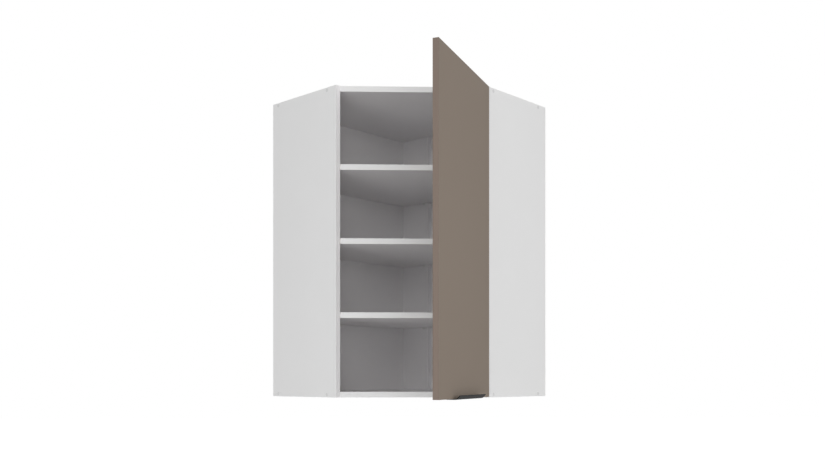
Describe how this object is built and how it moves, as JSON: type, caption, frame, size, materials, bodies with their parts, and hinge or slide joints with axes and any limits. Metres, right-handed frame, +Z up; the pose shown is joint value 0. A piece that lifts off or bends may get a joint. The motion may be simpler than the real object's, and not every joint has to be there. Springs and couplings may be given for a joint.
{
  "type": "corner wall cabinet",
  "caption": "Corner wall cabinet: a white five-sided carcass with shelves and a taupe diagonal door on concealed corner hinges, with a dark edge pull along the lower edge.",
  "frame": {"origin": "the room corner at the level of the cabinet's underside, where the two wall planes and the underside meet", "axes": "+Z up; +Y into the room corner, along the bisector of the two walls; +X to the right of someone facing the cabinet"},
  "size_m": [0.8456, 1.0104, 0.9],
  "materials": {
    "white_board": "matt white melamine-faced board",
    "back_panel": "white faced thin board",
    "white_edge": "white edge band",
    "door_board": "matt taupe faced board",
    "door_edge": "taupe edge band",
    "pull": "matt black",
    "cap": "white",
    "shelf_pin": "white",
    "buffer": "translucent soft",
    "hanger_housing": "white",
    "fastener": "zinc plated",
    "hinge_metal": "nickel plated",
    "zinc_plate": "zinc plated"
  },
  "bodies": {
    "carcass": {"left_end_panel": "white_board", "right_end_panel": "white_board", "top_panel": "white_board", "bottom_panel": "white_board", "lower_shelf": "white_board", "middle_shelf": "white_board", "upper_shelf": "white_board", "corner_board": "white_board", "back_panel_left": "back_panel", "back_panel_right": "back_panel", "upright_edge_bands": "white_edge", "level_edge_bands": "white_edge", "joining_screws": "fastener", "screw_caps": "cap", "shelf_pins": "shelf_pin", "left_hanger_housing": "hanger_housing", "right_hanger_housing": "hanger_housing", "left_hanger_hook": "zinc_plate", "right_hanger_hook": "zinc_plate", "left_hanger_screws": "fastener", "right_hanger_screws": "fastener", "left_wall_plate": "zinc_plate", "right_wall_plate": "zinc_plate", "lower_hinge_arm": "hinge_metal", "lower_hinge_arm_pins": "fastener", "lower_hinge_arm_adjuster": "fastener", "lower_hinge_plate": "hinge_metal", "lower_hinge_plate_screws": "fastener", "upper_hinge_arm": "hinge_metal", "upper_hinge_arm_pins": "fastener", "upper_hinge_arm_adjuster": "fastener", "upper_hinge_plate": "hinge_metal", "upper_hinge_plate_screws": "fastener"},
    "neck_links": {"lower_hinge_neck_link": "hinge_metal", "upper_hinge_neck_link": "hinge_metal"},
    "guide_links": {"lower_hinge_guide_link": "hinge_metal", "upper_hinge_guide_link": "hinge_metal"},
    "door": {"door_panel": "door_board", "door_side_bands": "door_edge", "door_end_bands": "door_edge", "edge_pull": "pull", "pull_screws": "fastener", "door_buffers": "buffer", "lower_hinge_cup": "hinge_metal", "lower_hinge_cup_pins": "fastener", "lower_hinge_cup_screws": "fastener", "upper_hinge_cup": "hinge_metal", "upper_hinge_cup_pins": "fastener", "upper_hinge_cup_screws": "fastener"}
  },
  "joints": [
    {"name": "neck_swing", "type": "hinge", "parent": "carcass", "child": "neck_links", "pos_m": [0.22783, -0.58916, 0.45], "axis": [0, 0, 1], "range_deg": [-17.4, 7.7]},
    {"name": "door_swing", "type": "hinge", "parent": "neck_links", "child": "door", "pos_m": [0.2133, -0.63396, 0.45], "axis": [0, 0, 1], "range_deg": [-48.64, 21.37]},
    {"name": "guide_swing", "type": "hinge", "parent": "carcass", "child": "guide_links", "pos_m": [0.24006, -0.57665, 0.45], "axis": [0, 0, 1], "range_deg": [-17.4, 7.7]}
  ],
  "couplings": [
    {"joint": "neck_swing", "follows": "door_swing", "ratio": 0.35685},
    {"joint": "guide_swing", "follows": "door_swing", "ratio": 0.35685}
  ]
}
